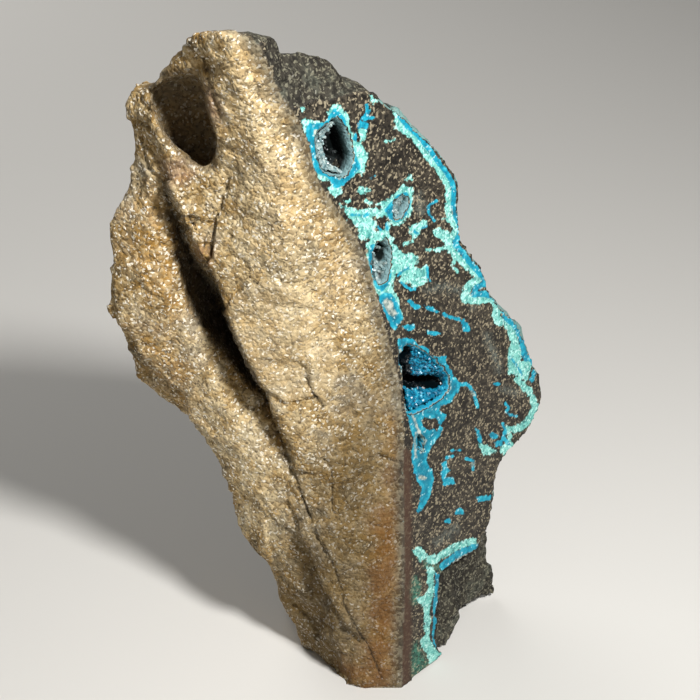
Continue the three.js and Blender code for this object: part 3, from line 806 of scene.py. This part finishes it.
# The lapped face: grains of the matrix, then the bands from the outer to the inner ones. Teal bands are
# darker in their middle, and pale ones hold dark and white grains.
MATRIX_STAINS = [("#6a7068", "smoke", 1.2, 0.9, 0.7), ("#3b7c68", "green", 1, 0.6, 0.75)]
MATRIX_GRAINS = [
    ("#6b6252", "fleck", 0.62, 0.76, 0.3),
    ("#0c0a08", "fleck", 0.4, 0.28, 0.4),
    ("#a3977d", "speck", 0.68, 0.8, 0.65),
    ("#0c0a08", "speck", 0.36, 0.26, 0.7),
]
PALE_GRAINS = [("#c9ece4", "speck", 0.66, 0.76, 0.6), ("#3a7a78", "speck", 0.3, 0.22, 0.7)]
BLUE_GRAINS = [("#b5dcdc", "speck", 0.8, 0.86, 0.6)]
CORE_START, CORE_FULL = 0.3, 0.9  # mm inside a teal band, where its middle starts and is darkest
CORE_MOST, CORE_WAVE = 0.5, 0.3  # its strength, and the depth of its waves in mm
face = grained(stain_and_shade(tone["matrix"], MATRIX_STAINS, "feather"), MATRIX_GRAINS)
face = stain_and_shade(face, [UMBER], "feather")
pale = grained(tone["pale"], PALE_GRAINS)
core = layer(tree, tone["blue"], rgb("#04566b"), field["blue"], CORE_START, CORE_FULL, CORE_MOST,
             grain["feather"], CORE_WAVE)
blue = grained(core, BLUE_GRAINS)
BANDS = [  # colour, mark, and the depth of the waves of its edge and the edge's softness in mm
    (pale, "pale", 0.9, 0.12), (blue, "blue", 0.5, 0.1), (tone["white"], "quartz", 0.5, 0.15),
]
for band, mark, depth, soft in BANDS:
    face = layer(tree, face, band, field[mark], -soft, soft, 1, grain["feather"], depth)

# The rough side of the vein: a crust of pale grains near the rim, and the walls of the hollows, darker
# inwards with painted shade
SKIN_GRAINS = [("#7d7966", "speck", 0.62, 0.74, 0.7), ("#110f0b", "fleck", 0.4, 0.28, 0.7)]
RIM_END, RIM_FULL = 2.6, 0.6  # mm behind the lapped face, where the crust ends and is full
RIM_MOST, RIM_WAVE = 0.75, 2  # its strength, and the depth of its waves in mm
rough = layer(tree, grained(tone["skin"], SKIN_GRAINS), rgb("#7fa6a0"), field["behind"], RIM_END, RIM_FULL,
              RIM_MOST, grain["feather"], RIM_WAVE)
WALL_TONES_AND_SHADE = [  # the colours at the mouth and, with painted shade, deep inside
    ("#6f8c8e", "#0b100f"), ("#1690ae", "#03202b"), ("#0a4a58", "#06100f"),
]
WALL_SHADE_START, WALL_SHADE_FULL = 0.5, 2.5  # mm behind the lapped face, where the painted shade starts and is full
SWITCH = np.array([0.4, 0.6])  # where a field that is 0 or 1 changes over
for kind, (mouth, deep) in enumerate(WALL_TONES_AND_SHADE, 1):
    shaded_wall = layer(tree, rgb(mouth), rgb(deep), field["behind"], WALL_SHADE_START, WALL_SHADE_FULL)
    rough = layer(tree, rough, shaded_wall, field["lining"], *(kind - 1 + SWITCH))
vein_side = layer(tree, rough, face, field["lapped"], *SWITCH)

# A grey selvage runs along the contact.
SELVAGE_START, SELVAGE_FULL, SELVAGE_MOST = -2.4, -0.4, 0.75  # mm before the contact, and its strength
CONTACT_SOFT, CONTACT_WAVE = 0.25, 0.5  # mm
selvage = grained(rgb("#6b6656"), [("#3b372e", "fleck", 0.5, 0.4, 1)])
sand = layer(tree, sand, selvage, field["vein"], SELVAGE_START, SELVAGE_FULL, SELVAGE_MOST)
colour = layer(tree, sand, vein_side, field["vein"], -CONTACT_SOFT, CONTACT_SOFT, 1, grain["feather"],
               CONTACT_WAVE)

LAPPED_ROUGHNESS = 0.55
GRAIN_SINK = -0.4  # of the relief: grains stand up in their middle
BUMP_DEPTH = 0.6 * MM
glint = add(tree, "MapRange", {
    "Value": grain["speck"], "From Min": 0.74, "From Max": 0.8, "To Min": 0.85, "To Max": 0.3})
gloss = add(tree, "Mix", {
    0: field["lapped"], 2: (glint, "Result"), 3: LAPPED_ROUGHNESS}, data_type="FLOAT")
relief = add(tree, "Math", {
    0: (cells["fleck"], "Distance"), 1: GRAIN_SINK, 2: grain["mottle"]}, operation="MULTIPLY_ADD")
depth_share = add(tree, "MapRange", {"Value": field["lapped"], "To Min": 0.9, "To Max": 0.12})
bump = add(tree, "Bump", {
    "Height": (relief, "Value"), "Strength": (depth_share, "Result"), "Distance": BUMP_DEPTH})
surface = add(tree, "BsdfPrincipled", {
    "Base Color": colour, "Roughness": (gloss, 0), "Normal": (bump, "Normal"), "IOR": 1.54,
    "Specular IOR Level": 0.25})
add(tree, "OutputMaterial", {"Surface": (surface, "BSDF")})
stone.data.materials.clear()
stone.data.materials.append(rock)

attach(stone, "root")
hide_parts("rock")

# Three hollows are lined with a druse of clear quartz, a crust of small six-sided crystals that grew on the
# walls out of water rich in silica, and stands free only at its points.

CRUST_GAP = 0.4  # mm between the crust and the wall of its hollow
CRUST = 0.45  # mm thick
TURNS, RINGS = 84, 22  # of the mesh of a crust
DEEP_SOFT = 5  # picture points over which the crust drops
GAP_SHADE = 3  # mm that a gap's colour is darkened as if it were deeper: painted shade
INNER = 0.02  # share of the width of a crust at its innermost ring
SKIM = 0.5  # mm under the lapped face, where a place on the crust is first looked up in the picture
LUMP_RISE, LUMP_SIZE, LUMP_SINK = 0.3, 1.3 * MM, 0.2  # lumps of the crust: mm, size, and share they sit low
SLOPE_FROM, SLOPE_LOSS = 0.55, 0.45  # shares of the width and the depth, where a hollow gets shallower
QUARTZ_BOWL = 0.9  # mm from the rim of a crust down to its middle
QUARTZ_DEEPS = {  # where the crust drops away, in picture points, and how far in mm
    "druse_upper": {"gap": (5.2, [
        (335, 127), (341, 127), (344, 140), (347, 152), (349, 162), (346, 169), (339, 166), (332, 161),
        (329, 150), (330, 138),
    ])},
    "druse_small": {"gap": (1.6, [(399, 205), (402, 203), (402, 212), (398, 213)])},
    "druse_long": {
        "top": (2.4, [(375, 250), (383, 247), (385, 251), (383, 259), (379, 262), (376, 257)]),
        "foot": (1, [(378, 272), (381, 272), (382, 279), (379, 279)]),
    },
}
QUARTZ_CRYSTALS = {"druse_upper": 120, "druse_small": 18, "druse_long": 40}
SIDES = 6
CRYSTAL_RADIUS, CRYSTAL_SLIM = (0.16, 0.32), (1.2, 2.2)  # mm, and how often that goes in the height
CRYSTAL_RINGS = ((-0.4, 1), (0.55, 0.95))  # shares of the height and the radius, at its root and shoulder
CRYSTAL_TILT = 0.45  # spread of the leans
EVEN_OUT = 0.15  # the more, the more crystals stand in the middle of a crust
OFF_AXIS = 0.1  # keeps the sides of a crystal defined when it lies along the face


def on_lapped(along, height, into):
    lean = np.array([-math.sin(FACE_TURN), math.cos(FACE_TURN), 0]) * math.tan(FACE_LEAN)
    flat = np.outer(along, ALONG) + np.outer(height, lean + np.array([0, 0, 1]))
    return FOOT_CORNER + (flat - np.outer(into, OUTWARD)) * MM


# A crust: a bowl that leaves the mouth of its hollow, drops in the deep areas and carries crystals
def crust(name, deeps, crystals, seed, bowl):
    chance = np.random.default_rng(seed)
    depth, outline = HOLLOWS[name]
    corners = np.array(outline, float)
    middle = corners.mean(axis=0)
    corners = np.vstack([corners, corners[:1]])
    lengths = np.concatenate([[0], np.cumsum(np.linalg.norm(np.diff(corners, axis=0), axis=1))])
    walk = np.linspace(0, lengths[-1], TURNS, endpoint=False)
    rim = np.stack([np.interp(walk, lengths, corners[:, i]) for i in (0, 1)], axis=1) - middle
    rim *= 1 - CRUST_GAP / np.linalg.norm(rim, axis=1)[:, None]
    shares = np.linspace(1, INNER, RINGS)
    flat = (middle + shares[:, None, None] * rim).reshape(-1, 2)
    share = np.repeat(shares, TURNS)
    spots = picture(on_lapped(flat[:, 0], flat[:, 1], np.full(len(flat), SKIM)))
    into = CRUST_GAP + bowl * (1 - share ** 3)
    for drop, mouth in deeps.values():
        into += drop * rising(inside(spots, {"deep": mouth}, {}), DEEP_SOFT)
    into += LUMP_RISE * (domes(on_lapped(flat[:, 0], flat[:, 1], into), LUMP_SIZE, 0) + LUMP_SINK)
    slope = np.clip((share - SLOPE_FROM) / (1 - SLOPE_FROM), 0, 1)
    room = depth * (1 - SLOPE_LOSS * slope) - CRUST_GAP - CRUST
    into = np.clip(into, CRUST_GAP, room)
    top = on_lapped(flat[:, 0], flat[:, 1], into)
    under = on_lapped(flat[:, 0], flat[:, 1], into + CRUST)
    points = [*top, *under]
    faces, below = [], len(top)
    for ring in range(RINGS - 1):
        for turn in range(TURNS):
            a, b = ring * TURNS + turn, ring * TURNS + (turn + 1) % TURNS
            faces.append((a, b, b + TURNS, a + TURNS))
            faces.append((a + below + TURNS, b + below + TURNS, b + below, a + below))
    last = (RINGS - 1) * TURNS
    faces.append(tuple(last + turn for turn in range(TURNS)))
    faces.append(tuple(last + below + turn for turn in reversed(range(TURNS))))
    for turn in range(TURNS):
        b = (turn + 1) % TURNS
        faces.append((turn, turn + below, b + below, b))
    # Painted shade: a gap's colour darkens where the eye looks into it.
    spots = picture(top)
    gaps = {gap: mouth for gap, (drop, mouth) in deeps.items()}
    gap_shade_depth = into + GAP_SHADE * rising(inside(spots, gaps, {}), DEEP_SOFT)
    sunk = list(gap_shade_depth) * 2
    odds = share + EVEN_OUT
    for pick in chance.choice(len(top), crystals, p=odds / odds.sum()):
        lean = OUTWARD + chance.normal(0, CRYSTAL_TILT, 3)
        lean /= np.linalg.norm(lean)
        side = np.cross(lean, ALONG + OFF_AXIS)
        side /= np.linalg.norm(side)
        other = np.cross(lean, side)
        wide = chance.uniform(*CRYSTAL_RADIUS) * MM
        tall = wide * chance.uniform(*CRYSTAL_SLIM)
        base = len(points)
        for reach, girth in CRYSTAL_RINGS:
            for step in range(SIDES):
                turn = step * math.tau / SIDES
                points.append(top[pick] + lean * tall * reach
                              + (side * math.cos(turn) + other * math.sin(turn)) * wide * girth)
        points.append(top[pick] + lean * tall)
        faces.append(tuple(base + step for step in reversed(range(SIDES))))
        shoulder, tip = base + SIDES, base + 2 * SIDES
        for step in range(SIDES):
            after = (step + 1) % SIDES
            faces.append((base + step, base + after, shoulder + after, shoulder + step))
            faces.append((shoulder + step, shoulder + after, tip))
        sunk += [gap_shade_depth[pick]] * (len(points) - base)
    mesh = bpy.data.meshes.new(name)
    mesh.from_pydata([tuple(point) for point in points], [], faces)
    write_field(mesh, "sunk", np.array(sunk))
    piece = bpy.data.objects.new(name.replace("druse", "crust"), mesh)
    shown.link(piece)
    return piece


# A druse is sugary: its colours run through a noise of a size in mm, and a painted shade darkens them where
# the crust lies deep or in a gap, between two depths in mm.
def druse(name, size, stops, shade_colour, start, full, finish):
    material = bpy.data.materials.new(name)
    material.use_nodes = True
    tree = material.node_tree
    tree.nodes.clear()
    here = (add(tree, "TexCoord"), "Object")
    sugar = add(tree, "TexNoise", {
        "Vector": here, "Scale": 1 / (size * MM), "Detail": 4, "Roughness": 0.7})
    cloud = add(tree, "ValToRGB", {"Fac": (sugar, "Fac")})
    shades(cloud, stops)
    sunk = add(tree, "Attribute", attribute_name="sunk")
    colour = layer(tree, (cloud, "Color"), rgb(shade_colour), (sunk, "Fac"), start, full)
    surface = add(tree, "BsdfPrincipled", {"Base Color": colour, "IOR": 1.544, **finish})
    add(tree, "OutputMaterial", {"Surface": (surface, "BSDF")})
    return material


# Druse quartz is colourless and glassy: white where it is thin and full of faces. Its colour darkens in the
# deep and in the gaps, as painted shade.
quartz = druse(
    "druse quartz", size=0.7, stops=[(0.36, "#4f7276"), (0.5, "#869d9d"), (0.64, "#b6c1bb")],
    shade_colour="#0d1413", start=1.5, full=3.6, finish={"Roughness": 0.35, "Transmission Weight": 0.15})

for seed, (name, deeps) in enumerate(QUARTZ_DEEPS.items(), 1):
    piece = crust(name, deeps, QUARTZ_CRYSTALS[name], seed, QUARTZ_BOWL)
    piece.data.materials.append(quartz)
    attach(piece, "root")
    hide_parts(name)

# The largest hollow is lined with a druse stained blue by chrysocolla: a boss stands in its upper half,
# deep gaps run beside and below it, and the floor rises to the mouth.

BLUE_DEEPS = {
    "side gap": (5, [
        (400, 343), (407, 343), (411, 352), (408, 362), (411, 377), (408, 388), (403, 384),
    ]),
    "under gap": (4, [
        (406, 377), (414, 375), (422, 379), (432, 378), (441, 377), (444, 384), (436, 389), (420, 387),
        (408, 388),
    ]),
}
BLUE_CRYSTALS, BLUE_SEED = 520, 9
BLUE_BOWL = 1.5  # mm
# Blue druse: sugary cerulean crystals, with a painted shade that turns them near black in the gaps and the
# deep.
blue_quartz = druse(
    "quartz druse over chrysocolla", size=0.8,
    stops=[(0.36, "#04445e"), (0.5, "#0a6c8b"), (0.62, "#1c93b0"), (0.7, "#6fbfcc")],
    shade_colour="#020a0e", start=2.3, full=3.2, finish={"Roughness": 0.3})

blue_druse = crust("druse_blue", BLUE_DEEPS, BLUE_CRYSTALS, BLUE_SEED, BLUE_BOWL)
blue_druse.data.materials.append(blue_quartz)
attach(blue_druse, "root")
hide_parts("druse_blue")

# The stage: a pale floor, a key light from the right, a weak fill from the left, a light from behind, a dim
# room, and the eye's camera.

FLOOR_SIDE = 3  # m from the middle of the floor to its edges
floor_mesh = bpy.data.meshes.new("floor")
corners = [(x * FLOOR_SIDE, y * FLOOR_SIDE, 0) for x, y in ((-1, -1), (1, -1), (1, 1), (-1, 1))]
floor_mesh.from_pydata(corners, [], [(0, 1, 2, 3)])
floor = bpy.data.objects.new("floor", floor_mesh)
shown.link(floor)
paper = bpy.data.materials.new("pale paper")
paper.use_nodes = True
paper.node_tree.nodes["Principled BSDF"].inputs["Base Color"].default_value = rgb("#cfccc6")
paper.node_tree.nodes["Principled BSDF"].inputs["Roughness"].default_value = 0.9
floor_mesh.materials.append(paper)

LIGHTS = {  # the place, the target and the size in m, and the power in W
    "key": ((0.105, -0.168, 0.275), (0, 0, 0.11), 0.045, 1.42),
    "fill": ((-0.3, -0.5, 0.35), (0, 0, 0.05), 0.4, 0.2),
    "back": ((-0.3, 0.5, 0.45), (0, 0, 0.05), 0.5, 2.2),
}
for name, (place, target, size, power) in LIGHTS.items():
    lamp = bpy.data.lights.new(name, "AREA")
    lamp.shape = "DISK"
    lamp.size = size
    lamp.energy = power
    holder = bpy.data.objects.new(name, lamp)
    holder.location = place
    holder.rotation_euler = (Vector(target) - Vector(place)).to_track_quat("-Z", "Y").to_euler()
    shown.link(holder)

world = bpy.data.worlds.new("room")
world.use_nodes = True
world.node_tree.nodes["Background"].inputs["Color"].default_value = rgb("#e8e8e6")
world.node_tree.nodes["Background"].inputs["Strength"].default_value = 0.09
bpy.context.scene.world = world
bpy.context.scene.view_settings.view_transform = "Standard"

SENSOR_MM = 36
lens = bpy.data.cameras.new("eye")
lens.sensor_width = SENSOR_MM
lens.lens = SENSOR_MM * FOCAL / PICTURE
eye = bpy.data.objects.new("eye", lens)
eye.location = EYE
eye.rotation_euler = (math.pi / 2 - LOOK_DOWN, 0, 0)
shown.link(eye)
bpy.context.scene.camera = eye
